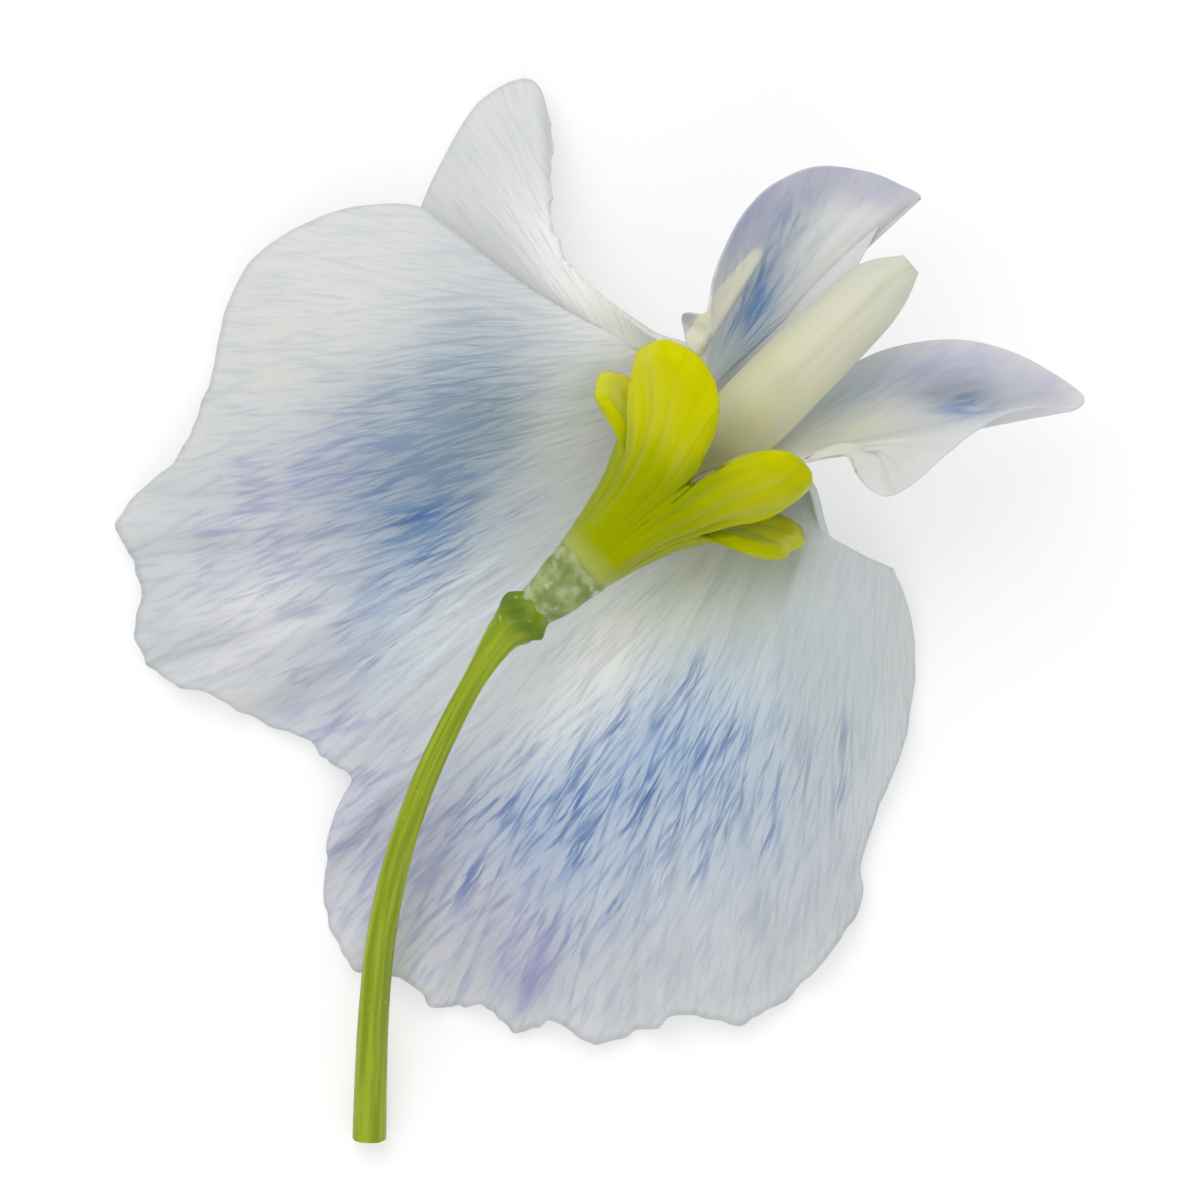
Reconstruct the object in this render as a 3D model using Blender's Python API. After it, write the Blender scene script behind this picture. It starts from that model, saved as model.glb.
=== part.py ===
"""A sweet pea flower as picked: one blossom on its own stalk, lying on a flat surface.

The blossom lies on its open standard, the broad two-lobed petal, which has folded right back
under the calyx. The keel and the two wings point along +Y, clear of the surface, and the
stalk comes out of the back of the calyx and bends down until its cut end touches the surface.

All lengths below are in millimetres and MM turns them into metres. Places are in the flower's
own frame: X across, Y along the calyx towards the keel, Z up from the surface, with the
middle of the calyx mouth above the point 0, 0. The last step moves the whole flower so that
the middle of its footprint is the origin.
"""

import math

import bmesh
import bpy
import numpy as np
from mathutils import Vector

MM = 0.001

# Driving dimensions.
CALYX_HEIGHT = 10.5  # of the calyx's axis above the surface
PETAL_THICKNESS = 0.5
CALYX_THICKNESS = 0.6

# The petals' narrow ends stand in the calyx, between these two stations of its axis.
CLAW_END = -2.6
MOUTH = 1.2

# The standard's margin, from its left shoulder round both lobes to its right shoulder.
# Each row is x, y and height of the margin, and the height of the sheet half way out to it.
# The first five rows are the left shoulder, a pointed flap. The sheet folds there, and the
# left lobe, which starts at the sixth row, lies over the flap.
STANDARD_MARGIN = (
    (-18.0, 7.4, 1.6, 5.0),
    (-20.4, 8.2, 1.3, 4.9),
    (-21.4, 5.6, 0.4, 4.6),
    (-19.8, 1.2, 0.3, 4.0),
    (-17.6, -3.4, 0.8, 3.9),
    (-19.2, -0.4, 3.4, 5.9),
    (-22.1, -4.4, 2.4, 7.0),
    (-23.1, -9.2, 1.1, 7.2),
    (-20.4, -14.4, 0.3, 7.0),
    (-18.2, -19.4, 0.9, 6.6),
    (-17.4, -23.4, 0.3, 6.2),
    (-10.6, -26.7, 0.3, 5.8),
    (-4.6, -23.9, 1.0, 5.2),
    (-0.6, -23.0, 1.6, 4.7),
    (0.1, -21.4, 1.6, 4.5),
    (1.1, -25.0, 0.8, 4.6),
    (3.9, -28.2, 0.3, 5.0),
    (8.3, -29.2, 0.3, 5.6),
    (12.6, -27.0, 0.6, 6.2),
    (16.4, -24.2, 0.3, 6.6),
    (19.8, -20.2, 0.9, 6.9),
    (22.9, -15.8, 0.3, 7.0),
    (23.3, -10.6, 0.9, 7.0),
    (20.9, -5.6, 0.4, 7.0),
    (18.0, -0.8, 0.8, 7.0),
    (14.4, 3.6, 0.3, 6.9),
    (10.6, 5.2, 2.4, 7.1),
)
# Half way out, the first rows' sheet is at these x and y, and a later row's sheet is at this
# share of its margin's x and y.
MIDDLE_SHARE = 0.55
FLAP_MIDDLE = ((-13.0, 3.4), (-12.8, 3.0), (-12.4, 2.1), (-11.9, 0.6), (-11.2, -1.6), (-11.6, 0.9))
STANDARD_SPREAD = math.radians(66)  # half of the arc that the standard takes up in the mouth

# The wings' margins, from the outer edge at the calyx, round the tip, back to the inner edge.
# Each row is x, y and height of the margin.
LEFT_WING_MARGIN = (
    (-5.4, 5.7, 11.7),
    (-6.2, 8.4, 12.6),
    (-8.1, 12.2, 12.2),
    (-7.2, 15.6, 11.0),
    (-5.0, 17.7, 9.8),
    (-2.9, 18.6, 9.2),
    (-2.3, 16.0, 9.4),
    (-1.7, 12.6, 9.5),
    (-1.3, 9.2, 9.6),
    (-1.3, 6.4, 9.8),
)
RIGHT_WING_MARGIN = (
    (3.9, 5.4, 11.4),
    (6.2, 6.8, 11.9),
    (8.1, 8.2, 12.3),
    (8.2, 12.2, 12.3),
    (8.7, 15.2, 11.2),
    (10.8, 17.9, 9.6),
    (7.6, 17.4, 9.0),
    (4.6, 15.6, 9.0),
    (2.6, 12.8, 9.2),
    (1.4, 9.6, 9.6),
    (1.2, 6.4, 9.8),
)
WING_DISH = 1.1  # how far a wing's middle sinks below the line from its claw to its margin

# The keel, from its claw to its tip: y, x, height above the calyx's axis, half width of the
# sheet along its curve, and half of the angle that the sheet is rolled through.
KEEL_STATIONS = (
    (CLAW_END, 0.0, 0.6, 0.32, 10),
    (1.2, -0.1, 0.9, 0.8, 30),
    (4.6, -0.2, 1.9, 2.5, 95),
    (8.6, -0.3, 2.5, 3.3, 105),
    (12.4, -0.4, 2.3, 3.1, 100),
    (15.5, -0.5, 1.4, 0.9, 80),
)

# The calyx: a funnel of these radii along its axis, and five teeth round its mouth.
FUNNEL = ((-6.6, 1.45), (-4.6, 1.7), (-2.6, 2.25), (-1.2, 2.95))
# Each tooth: turn about the axis from straight up, length, half width at its base, how far its
# tip leans out from the axis, how far its tip sweeps about the axis, bluntness, and twist. The
# turn, half width, lean and sweep are in degrees. A twist above 0 moves a tooth's lower edge
# forward along the axis.
TEETH = (
    (-26, 7.4, 34, 50, -14, 2.5, -0.45),
    (36, 7.5, 27.5, 38, -9, 3.1, 0.0),
    (-91, 4.1, 25, 82, -11, 2.3, 0.85),
    (104, 5.1, 27, 59, 0, 2.5, 0.65),
    (180, 3.2, 26, 8, 0, 1.6, 0.0),
)
FUNNEL_LEAN = 28  # degrees that the funnel's wall leans out where the teeth begin
GAP_LENGTH = 0.35  # of the wall beyond the funnel, between teeth

# The collar: the translucent sleeve between the calyx and the stalk.
COLLAR_PROFILE = (
    (-9.4, 1.05),
    (-8.0, 1.3),
    (-6.9, 1.65),
    (-6.9, 0.85),
    (-3.3, 0.85),
    (-3.3, 0.0),
)
SOCKET_RADIUS = 0.8
SOCKET_END = -7.4

# The stalk, from its peg in the collar to its cut end: x, y, height and radius.
STALK = (
    (0.0, -7.8, 10.5, 0.5),
    (0.0, -9.5, 10.5, 0.5),
    (0.0, -9.8, 10.5, 1.0),
    (-0.1, -10.9, 10.5, 1.1),
    (0.0, -12.2, 10.4, 0.8),
    (0.6, -14.4, 10.1, 0.58),
    (1.6, -17.2, 9.3, 0.58),
    (3.0, -20.4, 8.0, 0.62),
    (4.9, -23.8, 6.2, 0.68),
    (7.2, -27.0, 4.4, 0.74),
    (9.8, -29.9, 2.8, 0.78),
    (12.3, -32.4, 1.6, 0.82),
    (14.6, -34.6, 0.88, 0.86),
)
STALK_RINGS = 30


def clear_scene():
    for obj in list(bpy.data.objects):
        bpy.data.objects.remove(obj)


def plain_material(name, colour, roughness):
    material = bpy.data.materials.new(name)
    material.use_nodes = True
    shader = material.node_tree.nodes["Principled BSDF"]
    shader.inputs["Base Color"].default_value = (*colour, 1)
    shader.inputs["Roughness"].default_value = roughness
    shader.inputs["Metallic"].default_value = 0
    return material


def spline(points, at):
    """The smooth curve through the rows of points, at each place in at, from 0 to 1."""
    points = np.asarray(points, float)
    last = len(points) - 1
    place = np.clip(np.asarray(at, float) * last, 0, last - 1e-9)
    index = place.astype(int)
    f = (place - index).reshape(-1, *[1] * (points.ndim - 1))
    ends = (2 * points[:1] - points[1:2], points, 2 * points[-1:] - points[-2:-1])
    a, b, c, d = (np.concatenate(ends)[index + k] for k in range(4))
    return 0.5 * (
        2 * b + (c - a) * f + (2 * a - 5 * b + 4 * c - d) * f**2 + (3 * (b - c) + d - a) * f**3
    )


def loft(ribs, across, along):
    """A sheet of across by along points, over ribs that each hold the same number of points."""
    columns = spline(ribs, np.linspace(0, 1, across))
    return np.stack([spline(column, np.linspace(0, 1, along)) for column in columns])


def sheet_object(name, sheet, thickness, material, ring=False):
    """A closed solid of that thickness, centred on a sheet of points; a ring joins its two ends."""
    across, along = sheet.shape[:2]
    mesh = bpy.data.meshes.new(name)
    bm = bmesh.new()
    verts = [[bm.verts.new(Vector(point) * MM) for point in column] for column in sheet]
    for i in range(across if ring else across - 1):
        left, right = verts[i], verts[(i + 1) % across]
        for j in range(along - 1):
            bm.faces.new((left[j], right[j], right[j + 1], left[j + 1]))
    bm.to_mesh(mesh)
    bm.free()
    obj = add_object(name, mesh, material)
    solidify = obj.modifiers.new("thickness", "SOLIDIFY")
    solidify.thickness = thickness * MM
    solidify.offset = 0
    return obj


def add_object(name, data, material):
    if hasattr(data, "shade_smooth"):
        data.shade_smooth()
    data.materials.append(material)
    obj = bpy.data.objects.new(name, data)
    bpy.context.scene.collection.objects.link(obj)
    return obj


def standard_claw(turn):
    """A rib's points in the calyx and round its lip, at this turn about the axis from its bottom."""
    across, down = math.sin(turn), math.cos(turn)
    base = math.sin(turn * 0.75), math.cos(turn * 0.75)
    return [
        (1.35 * base[0], CLAW_END, CALYX_HEIGHT - 1.35 * base[1]),
        (2.2 * across, MOUTH, CALYX_HEIGHT - 2.2 * down),
        (3.4 * across, 3.3, CALYX_HEIGHT - 3.1 * down),
        (5.0 * across, 4.4 + 0.4 * across**2, CALYX_HEIGHT - 4.5 * down),
        (7.6 * across, 1.4 + 2.9 * across**2, CALYX_HEIGHT - 5.9 + 2.9 * across**2),
    ]


def standard_petal(material):
    ribs = []
    for i, (x, y, height, middle_height) in enumerate(STANDARD_MARGIN):
        turn = STANDARD_SPREAD * (2 * i / (len(STANDARD_MARGIN) - 1) - 1)
        middle = FLAP_MIDDLE[i] if i < len(FLAP_MIDDLE) else (MIDDLE_SHARE * x, MIDDLE_SHARE * y)
        ribs.append([*standard_claw(turn), (*middle, middle_height), (x, y, height)])
    return sheet_object("standard_petal", loft(ribs, 64, 14), PETAL_THICKNESS, material)


def wing_petal(name, margin, side, material):
    """side is -1 for the left wing and 1 for the right one."""
    ribs = []
    for i, tip in enumerate(margin):
        t = i / (len(margin) - 1)
        lip = Vector((side * (3.3 - 1.3 * t), 4.2, CALYX_HEIGHT + 1.1 - 1.9 * t))
        middle = (lip + Vector(tip)) / 2 - Vector((0, 0, WING_DISH * math.sin(math.pi * t)))
        ribs.append(
            [
                (side * 0.95, CLAW_END, CALYX_HEIGHT + 1.0 - 1.1 * t),
                (side * 1.6, MOUTH, CALYX_HEIGHT + 1.5 - 1.8 * t),
                lip,
                middle,
                tip,
            ]
        )
    return sheet_object(name, loft(ribs, 18, 10), PETAL_THICKNESS, material)


def keel_petal(material):
    """A sheet rolled into a boat that is open along its underside."""
    columns = []
    for turn in np.linspace(-1, 1, 13):
        column = []
        for y, x, rise, half_width, roll in spline(KEEL_STATIONS, np.linspace(0, 1, 13)):
            angle = math.radians(roll)
            radius = half_width / angle
            across = radius * math.sin(turn * angle)
            drop = radius * (1 - math.cos(turn * angle))
            column.append((x + across, y, CALYX_HEIGHT + rise - drop))
        columns.append(column)
    return sheet_object("keel_petal", np.array(columns), PETAL_THICKNESS, material)


def tooth_wall(turn, rows):
    """Station, radius and turn of the calyx's wall beyond the funnel, at this turn of its rim."""
    centre, longest, lean, sweep, twist, length = turn, 1, FUNNEL_LEAN, 0, 0, GAP_LENGTH
    for tooth_turn, tooth_length, half_width, tooth_lean, tooth_sweep, bluntness, tooth_twist in TEETH:
        off = (turn - tooth_turn + 180) % 360 - 180
        if abs(off) < half_width:
            centre, longest, lean = turn - off, tooth_length, tooth_lean
            sweep, twist = tooth_sweep, tooth_twist
            share = (1 - abs(off / half_width) ** bluntness) ** 0.55
            length = GAP_LENGTH + (tooth_length - GAP_LENGTH) * share
    y, radius = FUNNEL[-1]
    wall = []
    for row in range(rows):
        out = (row + 0.5) / rows * length / longest
        angle = math.radians(FUNNEL_LEAN + (lean - FUNNEL_LEAN) * min(1, 1.4 * out))
        y += length / rows * math.cos(angle)
        radius += length / rows * math.sin(angle)
        lower = math.radians(turn - centre) * radius * math.copysign(1, math.sin(math.radians(centre)))
        wall.append((y + twist * out * lower, radius, turn + sweep * out))
    return wall


def calyx(material):
    """A funnel whose wall goes on into five teeth."""
    columns = []
    for turn in np.arange(0, 360, 6):
        funnel = [(y, radius, turn) for y, radius in spline(FUNNEL, np.linspace(0, 1, 5))]
        column = []
        for y, radius, at in (*funnel, *tooth_wall(turn, 5)):
            angle = math.radians(at)
            across, up = radius * math.sin(angle), radius * math.cos(angle)
            column.append((across, y, CALYX_HEIGHT + up))
        columns.append(column)
    return sheet_object("calyx", np.array(columns), CALYX_THICKNESS, material, ring=True)


def collar(material):
    """A turned sleeve with a spigot in the calyx and a socket for the stalk's peg."""
    socket = [(SOCKET_END, 0.0), (SOCKET_END, SOCKET_RADIUS), (-9.4, SOCKET_RADIUS)]
    bm = bmesh.new()
    profile = [Vector((r, y, 0)) * MM for y, r in (*socket, *COLLAR_PROFILE)]
    verts = [bm.verts.new(point) for point in profile]
    edges = [bm.edges.new(pair) for pair in zip(verts, verts[1:])]
    bmesh.ops.spin(
        bm,
        geom=[*verts, *edges],
        cent=(0, 0, 0),
        axis=(0, 1, 0),
        angle=math.tau,
        steps=20,
        use_merge=True,
    )
    bmesh.ops.remove_doubles(bm, verts=bm.verts, dist=0.001 * MM)
    bmesh.ops.recalc_face_normals(bm, faces=bm.faces)
    mesh = bpy.data.meshes.new("collar")
    bm.to_mesh(mesh)
    bm.free()
    obj = add_object("collar", mesh, material)
    mesh.set_sharp_from_angle(angle=math.radians(40))
    obj.location = (0, 0, CALYX_HEIGHT * MM)
    return obj


def stalk(material):
    curve = bpy.data.curves.new("stalk", "CURVE")
    curve.dimensions = "3D"
    curve.bevel_depth = MM
    curve.bevel_resolution = 3
    curve.use_fill_caps = True
    line = curve.splines.new("POLY")
    points = spline(STALK, np.linspace(0, 1, STALK_RINGS))
    line.points.add(len(points) - 1)
    for point, (x, y, z, radius) in zip(line.points, points):
        point.co = (x * MM, y * MM, z * MM, 1)
        point.radius = radius
    return add_object("stalk", curve, material)


def stand_on_origin(pieces):
    """Parents the pieces to an empty that puts the middle of their footprint at the origin."""
    flower = bpy.data.objects.new("flower", None)
    bpy.context.scene.collection.objects.link(flower)
    graph = bpy.context.evaluated_depsgraph_get()
    corners = []
    for piece in pieces:
        evaluated = piece.evaluated_get(graph)
        place = evaluated.matrix_world
        corners += [place @ vertex.co for vertex in evaluated.to_mesh().vertices]
        evaluated.to_mesh_clear()
        piece.parent = flower
    low = Vector(min(corner[k] for corner in corners) for k in range(3))
    high = Vector(max(corner[k] for corner in corners) for k in range(3))
    flower.location = (-(low.x + high.x) / 2, -(low.y + high.y) / 2, -low.z)


def main():
    clear_scene()
    petal = plain_material("petal", (0.72, 0.76, 0.86), 0.6)
    cream = plain_material("keel_cream", (0.84, 0.83, 0.68), 0.55)
    green = plain_material("calyx_green", (0.45, 0.48, 0.02), 0.4)
    clear = plain_material("collar_clear", (0.55, 0.6, 0.45), 0.3)
    stalk_green = plain_material("stalk_green", (0.26, 0.37, 0.03), 0.5)
    pieces = [
        standard_petal(petal),
        wing_petal("left_wing_petal", LEFT_WING_MARGIN, -1, petal),
        wing_petal("right_wing_petal", RIGHT_WING_MARGIN, 1, petal),
        keel_petal(cream),
        calyx(green),
        collar(clear),
        stalk(stalk_green),
    ]
    stand_on_origin(pieces)


main()
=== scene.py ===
"""The looks of the sweet pea flower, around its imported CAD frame.

The visible petals, calyx, collar and stalk are fine meshes that replace the plain CAD solids
and keep to their shapes. They are worked out in millimetres in the flower's own frame: X
across, Y along the calyx towards the keel, Z up from the surface, with the middle of the
calyx's mouth above 0, 0. FLOWER is where that point lies in the row's frame.
"""

import math

import bpy
import numpy as np
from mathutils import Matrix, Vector


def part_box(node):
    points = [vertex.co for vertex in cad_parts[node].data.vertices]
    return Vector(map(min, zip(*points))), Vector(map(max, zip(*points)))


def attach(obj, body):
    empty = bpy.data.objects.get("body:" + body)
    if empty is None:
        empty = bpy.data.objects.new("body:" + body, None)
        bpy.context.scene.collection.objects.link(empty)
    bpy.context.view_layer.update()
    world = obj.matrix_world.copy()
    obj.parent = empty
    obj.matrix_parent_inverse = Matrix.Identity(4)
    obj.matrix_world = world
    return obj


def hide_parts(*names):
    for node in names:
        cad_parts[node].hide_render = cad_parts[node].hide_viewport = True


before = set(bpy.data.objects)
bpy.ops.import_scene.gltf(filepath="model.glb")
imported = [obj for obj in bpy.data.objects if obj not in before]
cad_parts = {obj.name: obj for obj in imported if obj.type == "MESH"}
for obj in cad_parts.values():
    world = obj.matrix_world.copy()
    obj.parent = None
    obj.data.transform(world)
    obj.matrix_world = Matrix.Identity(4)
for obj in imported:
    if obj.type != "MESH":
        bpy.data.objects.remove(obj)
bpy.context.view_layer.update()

MM = 0.001
CALYX_HEIGHT = 10.5
COLLAR_END = -9.4  # the collar's end on the calyx's axis

collar_low, collar_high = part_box("collar")
FLOWER = Vector(
    (
        (collar_low.x + collar_high.x) / 2,
        collar_low.y - COLLAR_END * MM,
        (collar_low.z + collar_high.z) / 2 - CALYX_HEIGHT * MM,
    )
)

# The petals' narrow ends stand in the calyx, between these two stations of its axis.
CLAW_END = -2.6
MOUTH = 1.2
FLOOR_GAP = 0.12  # the least height of a petal's middle layer above the surface
LEVEL_HEIGHT = 0.4  # above FLOOR_GAP, below which the standard levels out
# Thickness in the middle of a petal and at its margin.
STANDARD_THICKNESS = (0.40, 0.16)
WING_THICKNESS = (0.36, 0.14)
KEEL_THICKNESS = (0.40, 0.20)

# The standard's margin, from its left shoulder round both lobes to its right shoulder.
# Each row is x, y and height of the margin, and the height of the sheet half way out to it.
# The first five rows are the left shoulder, a pointed flap. The sheet folds there, and the
# left lobe, which starts at the sixth row, lies over the flap.
STANDARD_MARGIN = (
    (-18.0, 7.4, 1.6, 5.5),
    (-20.4, 8.2, 1.3, 5.4),
    (-21.4, 5.6, 0.5, 5.1),
    (-20.1, 1.2, 0.5, 4.6),
    (-17.8, -3.4, 0.9, 4.5),
    (-19.0, -0.5, 3.4, 5.9),
    (-21.4, -2.7, 2.9, 6.6),
    (-22.8, -5.8, 2.0, 7.0),
    (-23.1, -8.7, 1.5, 7.2),
    (-22.2, -11.4, 1.0, 7.2),
    (-20.3, -14.0, 0.8, 7.0),
    (-18.9, -16.4, 1.2, 6.9),
    (-18.1, -19.4, 1.5, 6.6),
    (-17.8, -22.9, 0.9, 6.3),
    (-15.3, -23.9, 0.8, 6.1),
    (-12.6, -26.0, 1.0, 5.9),
    (-10.5, -26.8, 0.7, 5.7),
    (-8.0, -25.3, 1.1, 5.5),
    (-5.0, -24.2, 1.3, 5.3),
    (-2.0, -23.1, 1.4, 5.1),
    (-0.7, -22.9, 1.4, 5.0),
    (0.2, -22.8, 1.5, 4.9),
    (0.9, -24.4, 1.2, 4.9),
    (2.8, -27.2, 0.9, 5.0),
    (5.0, -28.6, 0.6, 5.2),
    (7.6, -29.2, 0.7, 5.6),
    (10.1, -27.6, 1.2, 5.9),
    (12.2, -27.2, 0.8, 6.1),
    (13.5, -25.6, 1.2, 6.3),
    (15.3, -25.3, 0.8, 6.5),
    (16.2, -24.3, 0.8, 6.6),
    (16.4, -23.4, 1.3, 6.6),
    (18.8, -22.6, 0.7, 6.8),
    (19.9, -20.4, 1.2, 6.9),
    (20.4, -18.6, 1.6, 6.9),
    (22.8, -16.6, 0.6, 7.0),
    (23.5, -14.0, 0.8, 7.0),
    (23.4, -10.0, 1.0, 6.9),
    (22.3, -7.3, 0.8, 6.8),
    (21.0, -6.2, 0.9, 6.7),
    (19.2, -3.0, 0.9, 6.5),
    (17.6, 0.0, 1.0, 6.2),
    (15.8, 2.2, 0.8, 5.9),
    (13.4, 4.1, 1.4, 5.6),
    (10.8, 5.2, 2.8, 5.2),
)
# Half way out, the first rows' sheet is at these x and y, and a later row's sheet is at about
# this share of its margin's x and y.
MIDDLE_SHARE = 0.55
FLAP_MIDDLE = ((-13.0, 3.4), (-12.8, 3.0), (-12.4, 2.1), (-11.9, 0.6), (-11.2, -1.6), (-11.6, 0.9))
FOLD_ROW = 4.5  # the row where the flap folds back under the left lobe
CALM_ROWS = (21, 30.6, 38.6)  # where the lobes meet, and the two deepest notches
STANDARD_SPREAD = math.radians(66)  # half of the arc that the standard takes up in the mouth

# The wings' margins, from the outer edge at the calyx, round the tip, back to the inner edge.
# Each row is x, y and height of the margin, and how far the sheet half way out is shifted
# towards the tip.
LEFT_WING_MARGIN = (
    (-4.9, 4.9, 11.6, 0.0),
    (-6.0, 5.6, 11.9, 0.4),
    (-5.3, 6.6, 12.3, 0.4),
    (-6.3, 8.0, 12.7, 0.0),
    (-7.1, 9.6, 12.7, 0.0),
    (-7.7, 11.4, 12.4, 0.0),
    (-7.8, 13.4, 11.8, 0.0),
    (-7.0, 15.7, 11.0, 0.0),
    (-5.1, 17.5, 10.0, 0.0),
    (-3.5, 18.3, 9.5, 0.0),
    (-2.4, 18.65, 9.2, 0.0),
    (-2.65, 17.6, 9.2, 0.0),
    (-2.8, 16.5, 9.3, 0.0),
    (-2.3, 14.9, 9.4, 0.0),
    (-1.6, 12.6, 9.5, 0.0),
    (-1.3, 8.6, 9.6, 0.0),
    (-1.4, 6.4, 9.8, 0.0),
)
RIGHT_WING_MARGIN = (
    (3.5, 5.1, 11.2, 0.2),
    (4.4, 6.6, 11.1, 0.6),
    (5.0, 7.1, 11.0, 1.3),
    (5.9, 6.8, 11.0, 2.0),
    (7.0, 6.8, 11.1, 2.4),
    (7.8, 7.3, 11.4, 2.3),
    (8.1, 8.7, 11.8, 1.7),
    (8.1, 10.6, 12.1, 0.8),
    (8.2, 12.5, 12.1, 0.3),
    (8.6, 14.4, 11.6, 0.0),
    (9.4, 15.8, 10.8, 0.0),
    (10.7, 17.0, 10.0, 0.0),
    (10.6, 18.0, 9.6, 0.0),
    (8.2, 17.5, 9.2, 0.0),
    (6.1, 16.6, 9.0, 0.0),
    (4.2, 15.2, 9.0, 0.0),
    (2.7, 13.2, 9.2, 0.0),
    (1.8, 11.2, 9.4, 0.0),
    (1.3, 8.6, 9.6, 0.0),
    (1.4, 6.4, 9.8, 0.0),
)
# The x and y that the standard's streaks fan out from, and those of its flap.
STREAK_CENTRE = (1.0, 14.0)
FLAP_STREAK_CENTRE = (-2.0, 1.0)
# How many millimetres of a petal one unit of its UV map's x stands for.
STANDARD_STREAK_WIDTH = 28
WING_STREAK_WIDTH = 13
ACCENT_RADII = (0.34, 1.3)
# The standard's darkest streaks: x, y and strength.
DARK_STREAKS = (
    (8.8, -15.3, 1.0),
    (10.4, -15.7, 0.6),
    (10.7, -11.8, 1.0),
    (11.5, -12.6, 0.7),
    (7.3, -10.7, 0.7),
    (7.9, -6.1, 0.6),
    (8.4, -7.2, 0.6),
    (11.3, -6.9, 0.4),
    (12.6, -11.3, 0.8),
    (6.7, -17.8, 0.6),
    (8.0, -21.7, 0.7),
    (15.3, -12.2, 0.6),
    (16.4, -8.6, 0.5),
    (15.3, -2.5, 0.4),
    (17.4, -4.5, 0.4),
    (14.8, -14.7, 0.5),
    (-7.6, -11.2, 0.9),
    (-6.7, -9.9, 0.5),
    (-5.7, -12.5, 0.6),
    (-4.2, -13.3, 0.8),
    (-3.6, -17.6, 0.5),
    (-9.7, -11.4, 0.4),
)
VIOLET_STREAKS = (
    (13.0, -20.6, 0.7),
    (14.5, -23.5, 0.8),
    (13.7, -22.4, 0.7),
    (6.6, -23.4, 0.6),
    (4.6, -21.0, 0.5),
    (-2.5, -21.6, 0.5),
    (-4.6, -22.6, 0.5),
    (-4.3, -6.6, 0.5),
    (-11.5, -12.7, 0.5),
)
# The standard's wash of colour, with painted light and painted shade, as soft spots: strength,
# centre, radii and turn in degrees.
STANDARD_SPOTS = {
    # The grey spots are partly the petal's own grey and partly painted shade, most of all in the
    # left lobe's hollow and along its folds.
    "grey_and_shade": (
        (0.92, (-7.6, -9.8), (3.2, 4.8), 12),
        (0.40, (-8.8, -4.8), (2.8, 3.4), -15),
        (0.66, (-12.2, -9.6), (3.4, 5.6)),
        (0.24, (-9.8, -14.6), (3.5, 4.0)),
        (0.10, (-15.0, -20.0), (3.5, 4.5)),
        (0.22, (14.2, -22.6), (1.6, 2.8)),
        (0.12, (-14.5, -1.0), (4.0, 3.0)),
        (0.38, (-11.6, -3.2), (2.9, 3.2), -20),
        (0.12, (-18.0, -16.0), (3.0, 5.0), 25),
        (0.16, (-13.0, -25.0), (4.5, 2.0), -20),
        (0.11, (20.0, -17.0), (3.0, 3.5)),
        (0.10, (14.5, -20.5), (3.0, 2.0)),
        (0.18, (10.5, -11.0), (5.0, 6.0)),
        (0.18, (16.0, -5.0), (5.0, 6.0)),
        (0.22, (21.5, -10.5), (2.6, 4.5)),
        (0.12, (10.0, -1.0), (4.0, 4.0)),
    ),
    "blue": (
        (0.42, (-6.4, -12.0), (2.4, 4.0), 12),
        (0.12, (-9.5, -12.0), (4.0, 5.0)),
        (0.18, (-5.0, -16.5), (2.6, 2.6), 20),
        (0.58, (9.2, -12.4), (2.9, 4.8), -8),
        (0.35, (10.6, -8.0), (2.8, 3.8)),
        (0.46, (7.4, -17.6), (3.6, 3.2), 25),
        (0.36, (12.4, -17.4), (4.0, 3.2)),
        (0.32, (14.8, -9.0), (4.0, 5.0)),
        (0.12, (4.5, -22.5), (4.5, 4.0)),
    ),
    "violet": (
        (0.36, (-4.5, -20.5), (4.0, 4.5)),
        (0.40, (-13.5, -17.5), (4.5, 6.5)),
        (0.12, (-11.5, -12.0), (4.0, 4.5)),
        (0.62, (3.6, -24.5), (4.2, 5.0)),
        (0.62, (12.2, -23.2), (4.6, 2.8), 30),
        (0.40, (8.0, -19.0), (4.5, 4.0)),
        (0.10, (18.0, -15.0), (4.0, 5.0)),
    ),
    "cool": (
        (0.45, (7.0, -9.0), (6.0, 9.0)),
        (0.30, (14.0, -8.0), (6.0, 9.0)),
        (0.45, (-3.4, -14.0), (3.0, 6.5)),
    ),
    # The pale spots are painted light: they lift the petal where the calyx, the stalk and the tilt
    # of the sheet shade it, and where the flap folds under.
    "painted_light": (
        (0.9, (-11.0, 3.2), (4.6, 1.8), -6),
        (0.5, (-3.0, -13.0), (1.8, 4.0)),
        (0.35, (-6.6, -1.5), (1.6, 3.0)),
        (0.25, (-9.0, -20.0), (3.0, 3.0)),
        (0.50, (5.2, -11.0), (2.4, 6.0), 8),
        (0.85, (3.4, -6.8), (2.0, 4.2), 6),
        (0.55, (5.0, -3.2), (2.0, 2.4)),
        (0.28, (13.0, -3.0), (6.0, 5.0)),
    ),
}
RIGHT_WING_SPOTS = {
    "blue": ((0.85, (7.1, 13.4), (1.7, 0.7), 48), (0.2, (3.0, 9.5), (1.0, 2.6), -15)),
    # The grey spots are partly painted shade along the wing's crease.
    "grey_and_shade": ((0.30, (2.6, 9.6), (1.2, 3.0), -20), (0.25, (6.0, 13.0), (2.4, 0.9), 48)),
    "violet": ((1.0, (4.8, 13.8), (4.2, 1.3), 50), (0.6, (9.0, 16.6), (1.8, 1.0), 50)),
    "green": ((0.5, (2.2, 8.4), (1.2, 3.0), -15),),
    "cream": ((0.9, (4.2, 7.8), (1.4, 3.0), -20),),
}
WING_DISH = 1.1  # how far a wing's middle sinks below the line from its claw to its margin

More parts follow.
